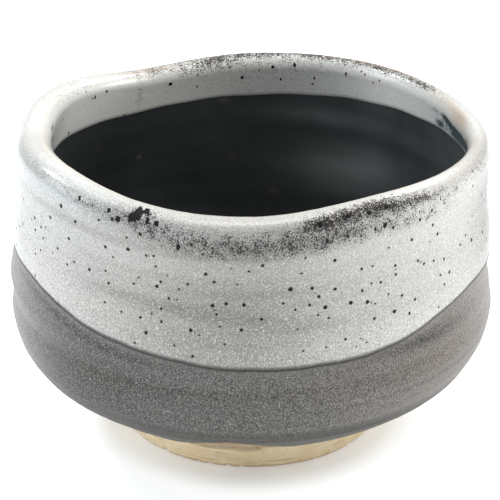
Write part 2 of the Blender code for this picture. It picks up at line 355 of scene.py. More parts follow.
def headings(columns):
    return np.arange(columns) / columns * 2.0 * math.pi


def coat(name, first, last, step, fixed, columns, face_depth, first_edge, last_edge):
    """A coat of glaze between two edges. first_edge and last_edge give each edge's place along the
    section at a heading. Returns the mesh's object with the heading and distance of each point."""
    along, depth, low, high = coat_rows(first, last, step, fixed)
    angle = headings(columns)
    shift = low[:, None] * (first_edge(angle) - first)[None]
    shift = shift + high[:, None] * (last_edge(angle) - last)[None]
    along, angle = along[:, None] + shift, np.broadcast_to(angle, shift.shape)
    back = np.clip(depth / BACK_DEPTH, 0.0, 1.0)[:, None]
    deep = depth[:, None] + face_depth * (1.0 - back)
    return ring_mesh(name, place(along, deep, angle)), angle, along


def outer_edge(angle):
    """Where the white glaze ends outside, with the small wander of a dipped edge."""
    wander = 0.10 * np.sin(9.0 * angle + 1.0) + 0.07 * np.sin(23.0 * angle) + 0.04 * np.sin(47.0 * angle)
    return SECTION.along_outside(round_the_bowl(GLAZE_LINE, angle) + wander)


def inner_edge(angle):
    """Where the white glaze ends inside."""
    wander = 0.16 * np.sin(7.0 * angle + 0.4) + 0.10 * np.sin(19.0 * angle)
    return SECTION.along_inside(round_the_bowl(INNER_LINE, angle) + wander)


def bare_edge(angle):
    """Where the grey glaze ends over the foot."""
    wander = 0.12 * np.sin(11.0 * angle) + 0.06 * np.sin(31.0 * angle + 2.0)
    return SECTION.along_outside(bare_line(angle) + wander)


# ---- where the marks in the glazes are ----------------------------------------------------------

def patch(angle, along, heading, middle, half_round, half_along):
    """1 in the middle of a soft patch, falling to 0 round it. Its half width is in degrees."""
    off = (np.degrees(angle) - heading + 180.0) % 360.0 - 180.0
    return np.exp(-((off / half_round) ** 2) - (((along - middle) / half_along) ** 2))


def patches(angle, along, marks):
    return sum(weight * patch(angle, along, *mark) for *mark, weight in marks)


# Soft patches: heading, distance along, half width in degrees, half height, strength.
PEPPER = [
    (297.0, 3.0, 10.0, 1.7, 0.84), (285.0, 3.6, 6.0, 2.0, 0.58), (311.0, 3.8, 9.0, 1.2, 0.66),
    (322.0, 5.2, 6.0, 1.0, 0.30), (300.0, 1.4, 8.0, 0.7, 0.40), (243.0, 3.2, 7.0, 2.6, 0.48),
    (252.0, 6.0, 9.0, 3.0, 0.32), (262.0, 7.2, 10.0, 3.4, 0.30), (275.0, 7.2, 10.0, 3.4, 0.33),
    (289.0, 7.4, 11.0, 3.0, 0.38), (230.0, 4.6, 8.0, 2.0, 0.27), (214.0, 2.8, 10.0, 1.8, 0.17),
    (304.0, 7.4, 11.0, 2.6, 0.36), (318.0, 8.0, 12.0, 2.6, 0.22),
    (48.0, -1.3, 12.0, 1.6, 0.74), (68.0, -1.1, 12.0, 1.5, 0.66), (88.0, -0.9, 12.0, 1.6, 0.56),
    (104.0, -1.9, 11.0, 2.1, 0.66), (122.0, -1.6, 8.0, 1.6, 0.50), (80.0, 0.8, 44.0, 1.1, 0.62),
    (86.0, -4.6, 26.0, 2.4, 0.30), (31.0, -1.5, 9.0, 1.5, 0.62), (150.0, -2.8, 14.0, 2.4, 0.32),
    (60.0, 4.5, 26.0, 3.0, 0.42), (120.0, 4.2, 26.0, 3.0, 0.40), (165.0, 4.6, 18.0, 2.4, 0.30),
    (20.0, 4.0, 16.0, 2.4, 0.32), (340.0, 4.4, 12.0, 1.8, 0.24),
]
# Grey smudges in the white glaze under the lip and in bands, and painted shade: the broad darkening of the
# front wall and of both silhouette sides.
SMUDGE = [
    (262.0, 7.6, 20.0, 3.4, 0.46), (286.0, 6.8, 16.0, 3.4, 0.42), (240.0, 4.4, 12.0, 3.2, 0.40),
    (304.0, 4.6, 14.0, 2.8, 0.30), (225.0, 10.2, 16.0, 1.2, 0.26), (214.0, 3.2, 12.0, 2.4, 0.26),
    (238.0, 22.9, 9.0, 1.4, 0.22), (252.0, 23.8, 9.0, 1.4, 0.26), (266.0, 25.0, 10.0, 1.5, 0.26),
    (283.0, 27.2, 11.0, 1.6, 0.24), (304.0, 26.4, 10.0, 1.6, 0.16), (272.0, 19.4, 22.0, 1.4, 0.14),
    (266.0, 22.0, 26.0, 22.0, 0.56), (262.0, 34.0, 26.0, 8.0, 0.18), (228.0, 22.0, 16.0, 20.0, 0.16),
    (197.0, 14.0, 15.0, 24.0, 0.54),
    (345.0, 16.0, 15.0, 22.0, 0.76), (90.0, 20.0, 70.0, 20.0, 0.14),
    (60.0, 6.0, 40.0, 2.4, 0.34), (130.0, 6.0, 40.0, 2.4, 0.30), (20.0, 25.0, 50.0, 1.5, 0.16),
    (120.0, 25.0, 60.0, 1.8, 0.18),
]
COOL = [
    (207.0, 8.0, 26.0, 12.0, 0.42), (204.0, 3.0, 16.0, 3.0, 0.40), (42.0, -8.5, 30.0, 5.0, 0.90),
    (78.0, -8.0, 16.0, 4.0, 0.30),
    (14.0, -8.0, 10.0, 4.0, 0.50), (90.0, 14.0, 60.0, 12.0, 0.20), (232.0, 3.2, 16.0, 3.4, 0.48),
    (252.0, 4.4, 8.0, 2.0, 0.30),
]
# Painted light: the lit inner band at the back, the lit tops of the lip, and painted highlights on the front
# lip at its left and right.
BRIGHT = [
    (46.0, -7.5, 22.0, 5.0, 0.85), (143.0, -8.0, 26.0, 7.0, 1.00), (92.0, -8.0, 24.0, 6.0, 0.70),
    (190.0, 0.0, 26.0, 3.6, 0.80), (350.0, -1.0, 26.0, 3.6, 0.55), (225.0, 0.4, 24.0, 1.6, 0.35),
    (315.0, 0.4, 16.0, 1.4, 0.35),
]
WARM = [
    (315.0, 18.0, 26.0, 16.0, 0.45), (345.0, 10.0, 22.0, 16.0, 0.60), (13.0, -4.6, 7.0, 1.4, 0.90),
    (140.0, -8.0, 26.0, 6.0, 0.35), (20.0, 16.0, 30.0, 12.0, 0.25), (266.0, 24.0, 34.0, 16.0, 0.50),
]
TAN = [
    (10.5, -3.2, 6.0, 1.7, 0.62), (20.0, -2.0, 7.0, 1.2, 0.34), (334.0, -1.8, 6.0, 0.7, 0.45),
    (350.0, -2.0, 5.0, 1.2, 0.25), (122.0, -1.0, 12.0, 0.8, 0.36), (50.0, 0.2, 22.0, 0.8, 0.34),
]
STREAKS = [
    (18.6, -6.2, 2.4, 1.0, 0.80), (15.4, -7.4, 3.0, 1.1, 0.95), (11.0, -7.8, 3.4, 1.3, 0.95),
    (6.0, -7.8, 4.0, 1.2, 0.90), (1.0, -7.8, 3.6, 1.5, 0.80), (8.0, -9.6, 4.0, 1.2, 0.60),
    (13.0, -9.4, 5.0, 0.9, 0.55), (24.0, -6.0, 3.0, 0.8, 0.35),
    (125.6, -8.4, 0.8, 3.6, 0.34), (177.0, -4.2, 4.6, 0.55, 0.75), (184.0, -5.2, 4.0, 0.55, 0.75),
    (21.8, -9.0, 2.8, 1.4, 0.80), (86.0, -8.0, 26.0, 1.6, 0.10), (98.0, -6.0, 30.0, 5.0, 0.10),
]
# Where the grey glaze is painted darker, as shade on the low front of the belly.
DUSK = [
    (232.0, 44.0, 16.0, 9.0, 0.40), (266.0, 54.0, 30.0, 7.0, 0.50), (226.0, 54.0, 22.0, 8.0, 0.75),
]
# Painted sheen: where the black glaze is painted greyer, as light caught on the inside wall.
BLOOM = [
    (64.0, -34.0, 17.0, 6.5, 0.95), (52.0, -29.0, 10.0, 4.5, 0.30), (70.0, -18.5, 18.0, 2.6, 0.30),
    (92.0, -30.0, 16.0, 10.0, 0.18), (126.0, -26.0, 16.0, 8.0, 0.06), (250.0, -34.0, 60.0, 12.0, 0.25),
]
# Small pits in the black glaze: heading, distance along, half width in degrees, half height, strength.
PITS = [
    (124.7, -28.1, 0.7, 0.5, 0.8), (95.2, -32.0, 1.0, 0.9, 0.5), (97.5, -14.1, 0.9, 0.7, 0.9),
    (99.0, -14.3, 0.7, 0.5, 0.7), (83.4, -42.4, 1.4, 0.9, 0.7), (140.0, -22.0, 0.5, 0.4, 0.4),
    (20.0, -30.0, 0.7, 0.5, 0.6), (210.0, -28.0, 0.8, 0.6, 0.7), (265.0, -36.0, 0.8, 0.6, 0.6),
    (310.0, -24.0, 0.6, 0.5, 0.7),
]
# Black blots: heading, distance along, half width and half height in millimetres.
BLOTS = [
    (243.0, 2.5, 1.25, 1.9), (244.9, 1.5, 0.9, 0.9), (241.8, 3.6, 0.8, 1.1), (246.0, 3.4, 0.5, 1.1),
    (238.6, 4.8, 0.7, 0.8), (237.0, 5.2, 0.5, 0.5), (235.8, 3.6, 0.55, 0.6), (248.4, 3.6, 0.55, 0.8),
    (227.4, 3.8, 0.45, 0.6), (253.9, 8.1, 0.5, 0.9), (286.6, 8.0, 0.4, 0.6), (291.3, 7.9, 0.4, 0.6),
    (298.0, 8.0, 0.40, 0.5), (300.5, 7.7, 0.5, 0.7), (302.8, 8.7, 0.4, 0.45), (285.0, 3.9, 0.6, 0.6),
    (291.5, 3.4, 0.7, 0.5), (296.5, 3.8, 0.6, 0.6), (301.0, 3.6, 0.6, 0.5), (305.0, 3.4, 0.4, 0.4),
    (314.6, 7.6, 0.4, 0.5), (317.6, 5.6, 0.35, 0.45), (71.0, -7.5, 0.35, 0.7), (77.0, -4.2, 0.5, 0.7),
    (83.4, -4.9, 0.5, 0.6), (81.0, -8.5, 0.35, 0.5), (61.1, -5.1, 0.4, 0.7), (54.8, -4.3, 0.35, 0.5),
    (142.1, -6.4, 0.4, 0.6), (106.5, -8.6, 0.35, 0.5), (145.4, -4.3, 0.3, 0.4), (87.4, -5.7, 0.3, 0.4),
]
# Iron specks that stand out: heading, distance along, radius.
BIG_SPECKS = [
    (221.9, 7.8, 0.48), (226.4, 9.7, 0.38), (233.4, 6.6, 0.30), (240.9, 8.6, 0.30), (257.0, 7.3, 0.34),
    (259.5, 9.3, 0.30), (241.3, 11.4, 0.48), (246.0, 11.8, 0.34), (247.9, 11.5, 0.34), (217.5, 12.3, 0.40),
    (248.3, 14.1, 0.30), (223.8, 14.9, 0.40), (237.1, 14.6, 0.30), (260.1, 14.3, 0.42), (269.6, 13.2, 0.28),
    (272.5, 11.8, 0.42), (281.8, 11.1, 0.30), (308.5, 13.0, 0.40), (317.3, 14.0, 0.42), (281.0, 14.8, 0.28),
    (212.9, 16.4, 0.34), (249.6, 17.7, 0.30), (278.6, 18.3, 0.56), (283.4, 18.7, 0.42), (295.0, 16.5, 0.32),
    (303.9, 17.8, 0.32), (248.6, 19.0, 0.42), (253.9, 18.8, 0.30), (219.8, 18.7, 0.34), (235.0, 18.6, 0.28),
    (225.6, 19.7, 0.30), (242.8, 19.6, 0.28), (288.6, 19.8, 0.42), (304.0, 19.8, 0.36), (312.5, 19.6, 0.38),
    (326.9, 19.6, 0.34), (284.9, 20.9, 0.40), (299.9, 20.6, 0.34), (319.6, 20.6, 0.34), (236.1, 21.3, 0.32),
    (223.3, 21.1, 0.30), (251.6, 21.4, 0.34), (261.6, 21.9, 0.44), (268.5, 21.5, 0.42), (277.0, 21.5, 0.32),
    (295.1, 21.4, 0.34), (210.4, 23.4, 0.30), (249.9, 24.2, 0.34), (262.5, 23.9, 0.32), (272.3, 24.9, 0.36),
    (286.3, 23.5, 0.48), (292.3, 23.5, 0.48), (296.3, 24.2, 0.46), (305.4, 24.8, 0.34), (317.8, 23.8, 0.32),
    (235.5, 26.0, 0.30), (240.1, 27.1, 0.28), (250.0, 27.3, 0.36), (256.8, 28.4, 0.42), (263.3, 26.9, 0.30),
    (268.0, 27.6, 0.44), (287.1, 26.1, 0.30), (298.1, 28.4, 0.32), (309.3, 26.9, 0.32), (243.8, 33.8, 0.30),
    (257.3, 34.8, 0.34), (281.4, 33.3, 0.30), (286.6, 33.1, 0.28), (316.9, 31.2, 0.30),
]
# The rest of the specks: heading and distance along of their middle, half widths, how many.
SPECK_FIELDS = [
    (262.0, 20.0, 40.0, 8.0, 34), (262.0, 31.0, 40.0, 5.0, 6), (312.0, 17.0, 18.0, 7.0, 10),
    (90.0, 20.0, 95.0, 9.0, 110), (0.0, 18.0, 26.0, 9.0, 26), (90.0, -7.0, 60.0, 3.0, 16),
    (294.0, 33.0, 1.6, 1.6, 6), (180.0, 17.0, 22.0, 8.0, 30),
]


def scatter_specks():
    """All the iron specks, no two too close: heading in degrees, distance along, radius."""
    random = np.random.default_rng(SPECK_SEED)
    specks = [tuple(speck) for speck in BIG_SPECKS]

    def clear(heading, along, radius):
        for other, its_along, its_radius in specks:
            round_gap = ((heading - other + 180.0) % 360.0 - 180.0) * math.radians(SPECK_WALL_RADIUS)
            gap = math.hypot(round_gap, along - its_along)
            if gap < radius + its_radius + SPECK_CLEARANCE:
                return False
        return True

    for heading, along, half_round, half_along, count in SPECK_FIELDS:
        for _ in range(count):
            speck = (
                (heading + half_round * random.normal()) % 360.0,
                along + half_along * random.normal() * 0.8,
                float(np.clip(random.lognormal(math.log(0.30), 0.28), 0.18, 0.52)),
            )
            if clear(*speck):
                specks.append(speck)
    return specks


def nearest_speck(points, specks):
    """For each point near a speck, the speck's middle and radius in millimetres. The rest get radius 0."""
    flat = points.reshape(-1, 3) / MM
    middle, radius = np.zeros_like(flat), np.zeros(len(flat))
    for heading, along, size in specks:
        angle = math.radians(heading)
        spot = place(np.array([along]), np.array([WHITE_DEPTH]), np.array([angle]))[0] / MM
        box = np.nonzero(np.abs(flat - spot).max(axis=1) < size + 0.9)[0]
        near = box[np.linalg.norm(flat[box] - spot, axis=1) < size + 0.8]
        middle[near], radius[near] = spot, size
    return middle.reshape(points.shape), radius.reshape(points.shape[:2])


def blot_field(angle, along):
    """Above 0.5 inside a black blot."""
    field = np.zeros_like(along)
    for heading, middle, half_round, half_along in BLOTS:
        off = ((np.degrees(angle) - heading + 180.0) % 360.0 - 180.0) * math.radians(57.0)
        reach = np.hypot(off / half_round, (along - middle) / half_along)
        field = np.maximum(field, 1.0 - 0.5 * reach)
    return np.clip(field, 0.0, 1.0)


# ---- materials ----------------------------------------------------------------------------------

class Shader:
    """A material's node tree, with one short call for each kind of node. Lengths are in millimetres."""

    def __init__(self, name):
        self.material = bpy.data.materials.new(name)
        self.material.use_nodes = True
        self.nodes = self.material.node_tree.nodes
        self.links = self.material.node_tree.links
        self.surface = self.nodes["Principled BSDF"]
        where = self.nodes.new("ShaderNodeTexCoord")
        scaled = self.nodes.new("ShaderNodeVectorMath")
        scaled.operation = "SCALE"
        scaled.inputs["Scale"].default_value = 1.0 / MM
        self.links.new(where.outputs["Object"], scaled.inputs[0])
        self.place = scaled.outputs[0]

    def plug(self, socket, value):
        if isinstance(value, bpy.types.NodeSocket):
            self.links.new(value, socket)
        elif isinstance(value, tuple) and len(value) == 3 and socket.type == "RGBA":
            socket.default_value = (*value, 1.0)
        else:
            socket.default_value = value

    def number(self, name):
        node = self.nodes.new("ShaderNodeAttribute")
        node.attribute_name = name
        return node.outputs["Fac"]

    def vector(self, name):
        node = self.nodes.new("ShaderNodeAttribute")
        node.attribute_name = name
        return node.outputs["Vector"]

    def math(self, operation, *values):
        node = self.nodes.new("ShaderNodeMath")
        node.operation = operation
        for socket, value in zip(node.inputs, values):
            self.plug(socket, value)
        return node.outputs[0]

    def vector_math(self, operation, *values, output=0):
        node = self.nodes.new("ShaderNodeVectorMath")
        node.operation = operation
        for socket, value in zip(node.inputs, values):
            self.plug(socket, value)
        return node.outputs[output]

    def stretch(self, by):
        """The place with its lengths divided by by, so that a pattern on it is stretched."""
        return self.vector_math("MULTIPLY", self.place, tuple(1.0 / k for k in by))

    def noise(self, size, detail=2.0, where=None, rough=0.5, twist=0.0, colour=False):
        """Noise whose lumps are about size millimetres across."""
        node = self.nodes.new("ShaderNodeTexNoise")
        self.plug(node.inputs["Vector"], where or self.place)
        node.inputs["Scale"].default_value = 1.0 / size
        node.inputs["Detail"].default_value = detail
        node.inputs["Roughness"].default_value = rough
        node.inputs["Distortion"].default_value = twist
        return node.outputs["Color" if colour else "Fac"]

    def between(self, value, low, high, to_low=0.0, to_high=1.0):
        node = self.nodes.new("ShaderNodeMapRange")
        node.interpolation_type = "SMOOTHSTEP"
        for key, number in zip(("Value", "From Min", "From Max", "To Min", "To Max"),
                               (value, low, high, to_low, to_high)):
            self.plug(node.inputs[key], number)
        return node.outputs[0]

    def mix(self, share, colour, other, blend="MIX"):
        node = self.nodes.new("ShaderNodeMix")
        node.data_type = "RGBA"
        node.blend_type = blend
        self.plug(node.inputs[0], share)
        self.plug(node.inputs[6], colour)
        self.plug(node.inputs[7], other)
        return node.outputs[2]

    def blur(self, value, size):
        """The place moved about by up to value millimetres, in lumps of size millimetres."""
        shake = self.vector_math("SUBTRACT", self.noise(size, 1.0, colour=True), (0.5, 0.5, 0.5))
        return self.vector_math("MULTIPLY_ADD", shake, (value,) * 3, self.place)

    def finish(self, colour, roughness, height=None, bump=0.3, distance=0.05, **values):
        self.plug(self.surface.inputs["Base Color"], colour)
        self.plug(self.surface.inputs["Roughness"], roughness)
        for key, value in values.items():
            self.plug(self.surface.inputs[key.replace("_", " ")], value)
        if height is not None:
            node = self.nodes.new("ShaderNodeBump")
            node.inputs["Strength"].default_value = bump
            node.inputs["Distance"].default_value = distance * MM
            self.plug(node.inputs["Height"], height)
            self.links.new(node.outputs[0], self.surface.inputs["Normal"])
        return self.material


def white_glaze_material():
    s = Shader("white_glaze")
    grain = s.noise(0.36, 3.0, rough=0.7)
    coarse = s.noise(1.9, 2.0)
    cloud = s.noise(9.0, 2.0)
    base = s.mix(s.between(cloud, 0.3, 0.7), (0.545, 0.540, 0.518), (0.605, 0.596, 0.570))
    base = s.mix(s.number("cool"), base, (0.46, 0.525, 0.55))
    base = s.mix(s.number("warm"), base, (0.62, 0.59, 0.555))
    # The bright number paints light into the colour: the lit inner band, lit lip tops and painted highlights.
    base = s.mix(s.number("bright"), base, (0.93, 0.94, 0.92))
    # The shade number paints grey smudges and painted shade into the colour.
    shade = s.number("shade")
    base = s.mix(shade, base, (0.212, 0.204, 0.188))
    grainy = s.number("grainy")
    pits = s.between(grain, 0.50, 0.62)
    base = s.mix(s.math("MULTIPLY", pits, grainy), base, (0.17, 0.172, 0.168))
    bright = s.between(grain, 0.46, 0.36)
    base = s.mix(s.math("MULTIPLY", bright, grainy), base, (0.86, 0.86, 0.84))
    mottle = s.math("MULTIPLY_ADD", s.math("SUBTRACT", s.noise(0.8, 3.0), 0.5), 1.1, s.number("streak"))
    base = s.mix(s.math("MULTIPLY", s.between(mottle, 0.12, 0.80), 0.95), base, (0.030, 0.050, 0.055))

    pepper = s.number("pepper")
    lumps = s.math("MULTIPLY_ADD", s.math("SUBTRACT", coarse, 0.5), 0.34, s.noise(0.34, 2.0, rough=0.75))
    thick = s.math("MULTIPLY_ADD", shade, 0.05, s.math("MULTIPLY", pepper, 0.33))
    fleck = s.math("ADD", lumps, thick)
    peppered = s.math("MULTIPLY", s.between(fleck, 0.64, 0.76), s.between(pepper, 0.02, 0.20))
    brown = s.between(s.noise(1.3, 1.0), 0.50, 0.66)
    dark = s.mix(brown, (0.010, 0.010, 0.011), (0.052, 0.036, 0.026))
    base = s.mix(s.math("MULTIPLY", peppered, 0.95), base, dark)

    ragged = s.math("MULTIPLY_ADD", s.math("SUBTRACT", s.noise(0.6, 3.0), 0.5), 0.62, s.number("blot"))
    blot = s.between(ragged, 0.46, 0.56)
    base = s.mix(blot, base, (0.009, 0.009, 0.010))

    gap = s.vector_math("DISTANCE", s.blur(0.35, 0.6), s.vector("speck_middle"), output=1)
    inside = s.math("SUBTRACT", s.number("speck_radius"), gap)
    speck = s.between(inside, -0.07, 0.09)
    halo = s.math("MULTIPLY", s.between(inside, -0.34, 0.02), s.between(s.number("speck_radius"), 0.0, 0.2))
    base = s.mix(s.math("MULTIPLY", halo, 0.40), base, (0.24, 0.21, 0.175))
    base = s.mix(speck, base, (0.011, 0.009, 0.008))

    base = s.mix(s.number("thin"), base, (0.24, 0.255, 0.25))
    # The dark edge of the white glaze, with the painted shadow of its step.
    base = s.mix(s.number("edge_line"), base, (0.022, 0.019, 0.017))
    base = s.mix(s.number("tan"), base, (0.40, 0.27, 0.16))
    base = s.mix(s.number("cream"), base, (0.90, 0.82, 0.68))

    stained = s.math("MAXIMUM", peppered, blot)
    dotted = s.math("MAXIMUM", speck, s.number("edge_line"))
    marked = s.math("MAXIMUM", stained, dotted)
    dull = s.math("MAXIMUM", s.math("MULTIPLY", marked, 0.96), s.math("MULTIPLY", shade, 0.90))
    clear = s.math("SUBTRACT", 1.0, dull)
    roughness = s.math("MULTIPLY_ADD", marked, 0.2, 0.42)
    height = s.math("MULTIPLY_ADD", marked, -0.5, s.math("MULTIPLY_ADD", grain, 0.35, coarse))
    return s.finish(base, roughness, height, bump=0.35, distance=0.06, Specular_IOR_Level=0.12,
                    Coat_Weight=clear, Coat_Roughness=0.22, Coat_IOR=1.5)


def grey_glaze_material():
    s = Shader("grey_glaze")
    worms = s.noise(0.34, 3.0, rough=0.65, twist=0.5)
    fine = s.noise(0.26, 2.0, rough=0.6)
    coarse = s.noise(3.2, 2.0)
    base = s.mix(s.between(coarse, 0.3, 0.7), (0.086, 0.087, 0.082), (0.106, 0.105, 0.098))
    base = s.mix(s.number("warm"), base, (0.185, 0.150, 0.126))
    # The smooth number darkens the grey near the foot: a darker band of the glaze there, with painted shade
    # under the belly.
    base = s.mix(s.number("smooth"), base, (0.030, 0.027, 0.022))
    # The side number is painted light: the grey glaze is painted paler towards both silhouettes.
    base = s.mix(s.number("side"), base, (0.30, 0.285, 0.27))
    # The dark number paints shade into the grooves and rings.
    base = s.mix(s.number("dark"), base, (0.022, 0.024, 0.026))
    grainy = s.number("grainy")
    light = s.math("MULTIPLY", s.between(worms, 0.51, 0.60), grainy)
    base = s.mix(s.math("MULTIPLY", light, 0.62), base, (0.33, 0.322, 0.302))
    deep = s.math("MULTIPLY", s.between(worms, 0.47, 0.39), grainy)
    base = s.mix(s.math("MULTIPLY", deep, 0.80), base, (0.022, 0.022, 0.021))
    fleck = s.math("MULTIPLY", s.between(fine, 0.56, 0.66), grainy)
    base = s.mix(s.math("MULTIPLY", fleck, 0.5), base, (0.030, 0.028, 0.026))
    base = s.mix(s.number("pale"), base, (0.22, 0.215, 0.20))
    base = s.mix(s.number("toast"), base, (0.085, 0.055, 0.035))
    roughness = s.between(worms, 0.3, 0.7, 0.44, 0.60)
    height = s.math("MULTIPLY_ADD", worms, 0.6, coarse)
    return s.finish(base, roughness, height, bump=0.45, distance=0.06, Specular_IOR_Level=0.30)


def black_glaze_material():
    s = Shader("black_glaze")
    cloud = s.noise(14.0, 3.0)
    fine = s.noise(0.5, 2.0)
    rings = s.noise(2.4, 2.0, where=s.stretch((14.0, 14.0, 1.0)))
    base = s.mix(s.between(cloud, 0.35, 0.7), (0.0340, 0.0400, 0.0425), (0.0520, 0.0600, 0.0635))
    base = s.mix(s.math("MULTIPLY", s.between(rings, 0.5, 0.75), 0.3), base, (0.060, 0.066, 0.069))
    base = s.mix(s.math("MULTIPLY", s.between(fine, 0.60, 0.72), 0.4), base, (0.055, 0.059, 0.060))
    waves = s.noise(6.0, 2.0, where=s.stretch((1.6, 1.6, 0.8)))
    drift = s.math("MULTIPLY_ADD", s.math("SUBTRACT", waves, 0.5), 0.5, 1.0)
    # Painted sheen: the black glaze is painted greyer where the inside wall catches light.
    base = s.mix(s.math("MULTIPLY", s.number("bloom"), drift), base, (0.25, 0.265, 0.27))
    # Painted shade: the black glaze is painted darker on the back-left inside wall.
    base = s.mix(s.number("gloom"), base, (0.010, 0.011, 0.012))
    base = s.mix(s.number("pit"), base, (0.13, 0.125, 0.115))
    roughness = s.between(fine, 0.3, 0.7, 0.40, 0.52)
    height = s.math("MULTIPLY_ADD", fine, 0.5, cloud)
    return s.finish(base, roughness, height, bump=0.25, distance=0.05, IOR=1.5)


def clay_material(name, light, tan, brown, irony):
    """Bare fired stoneware: a sandy grain, turning lines and brown flashing. Its flash number also carries
    painted shade.
    """
    s = Shader(name)
    cloud = s.noise(5.0, 3.0)
    sand = s.noise(0.45, 3.0, rough=0.65)
    lines = s.noise(0.8, 2.0, where=s.stretch((12.0, 12.0, 0.8)))
    base = s.mix(s.between(cloud, 0.35, 0.65), light, tan)
    base = s.mix(s.math("MULTIPLY", s.between(lines, 0.5, 0.7), 0.35), base, brown)
    base = s.mix(s.math("MULTIPLY", s.between(sand, 0.56, 0.70), 0.45), base, brown)
    base = s.mix(s.math("MULTIPLY", s.between(sand, 0.42, 0.30), 0.4), base, (0.95, 0.88, 0.72))
    base = s.mix(s.number("flash"), base, brown)
    iron = s.between(s.noise(0.9, 0.0), 0.78, 0.82)
    base = s.mix(s.math("MULTIPLY", iron, irony), base, (0.06, 0.035, 0.02))
    height = s.math("MULTIPLY_ADD", lines, 0.6, sand)
    return s.finish(base, 0.82, height, bump=0.6, distance=0.10, IOR=1.45)


# ---- the pieces ---------------------------------------------------------------------------------

def make_rim_white_glaze():
    first, last = SECTION.along_inside(INNER_LINE_THROWN), SECTION.along_outside(GLAZE_LINE_THROWN)
    thing, angle, along = coat("white_rim_coat", first, last, 0.46, 0.0, 720, WHITE_DEPTH, inner_edge,
                               outer_edge)
    points = place(along, np.zeros_like(along), angle)
    middle, radius = nearest_speck(points, scatter_specks())
    to_outer, to_inner = outer_edge(angle) - along, along - inner_edge(angle)
    # Painted shade: the outside wall below the lip is painted darker than the lip.
    wall_shade = 0.16 * smooth_step(4.0, 12.0, along)
    add_numbers(
        thing,
        cool=np.clip(patches(angle, along, COOL), 0.0, 1.0),
        warm=np.clip(patches(angle, along, WARM), 0.0, 1.0),
        bright=np.clip(patches(angle, along, BRIGHT), 0.0, 1.0),
        shade=np.clip(patches(angle, along, SMUDGE) + wall_shade, 0.0, 0.92),
        pepper=np.clip(patches(angle, along, PEPPER), 0.0, 1.0),
        streak=np.clip(patches(angle, along, STREAKS), 0.0, 1.0),
        grainy=0.26 + 0.18 * smooth_step(-4.0, 4.0, along) + 0.16 * smooth_step(8.0, 34.0, along),
        blot=blot_field(angle, along),
        speck_middle=middle,
        speck_radius=radius,
        thin=0.75 * (1.0 - smooth_step(0.0, 0.9, to_inner)) * (along < 0.0),
        # A dark line along the white glaze's lower edge: the glaze's dark edge and the painted shadow of its
        # step.
        edge_line=0.95 * (1.0 - smooth_step(0.30, 0.85, to_outer)) * (along > 0.0),
        tan=np.clip(patches(angle, along, TAN), 0.0, 1.0),
        cream=0.85 * patch(angle, along, 255.0, -1.7, 70.0, 0.55),
    )
    thing.data.materials.append(white_glaze_material())
    finish_piece(thing, "rim_white_glaze")


def make_outer_grey_glaze():
    first, last = SECTION.along_outside(GLAZE_LINE_THROWN) - UNDER_WHITE, SECTION.along_outside(BARE_LINE)
    thing, angle, along = coat(
        "grey_outer_coat", first, last, 0.5, 50.0, 720, GREY_DEPTH,
        lambda heading: outer_edge(heading) - UNDER_WHITE, bare_edge)
    line = along - outer_edge(angle)
    bare = bare_edge(angle) - along
    degrees = np.degrees(angle)
    # Painted shade: dark lines painted in the grooves and throwing rings of the grey glaze.
    left_groove = np.exp(-(((degrees - 222.0) / 20.0) ** 2)) * np.exp(-(((line - 2.6) / 1.1) ** 2))
    right_groove = np.exp(-(((degrees - 313.0) / 12.0) ** 2)) * np.exp(-(((along - 38.0) / 1.3) ** 2))
    ring_high = np.exp(-(((along - 48.2 + 0.8 * np.sin(angle)) / 0.45) ** 2))
    ring_low = np.exp(-(((along - 55.6 + 0.4 * np.sin(angle)) / 0.4) ** 2))
    front = 0.5 - 0.5 * np.sin(angle)
    near_foot = smooth_step(54.0, 58.0, along)
    add_numbers(
        thing,
        warm=np.clip(patch(angle, along, 335.0, 50.0, 46.0, 40.0), 0.0, 1.0),
        # Darker near the foot and in the low front patches: the glaze's darker foot band and painted shade
        # under the belly.
        smooth=np.clip(0.9 * near_foot + patches(angle, along, DUSK), 0.0, 1.0),
        # Painted light: the grey glaze is painted paler towards both silhouettes.
        side=(
            0.85 * patch(angle, along, 193.0, 42.0, 19.0, 26.0)
            + 0.66 * patch(angle, along, 350.0, 44.0, 20.0, 26.0)
        ),
        dark=np.clip(0.85 * left_groove + 0.9 * right_groove + 0.4 * ring_high + 0.3 * ring_low, 0.0, 1.0),
        grainy=(0.75 + 0.25 * front) * (1.0 - 0.55 * near_foot) * smooth_step(0.0, 0.8, line),
        pale=0.25 * np.exp(-(((line - 0.9) / 0.5) ** 2)),
        toast=np.clip(0.9 * (1.0 - smooth_step(0.0, 0.9, bare)), 0.0, 1.0),
    )
    thing.data.materials.append(grey_glaze_material())
    finish_piece(thing, "outer_grey_glaze")


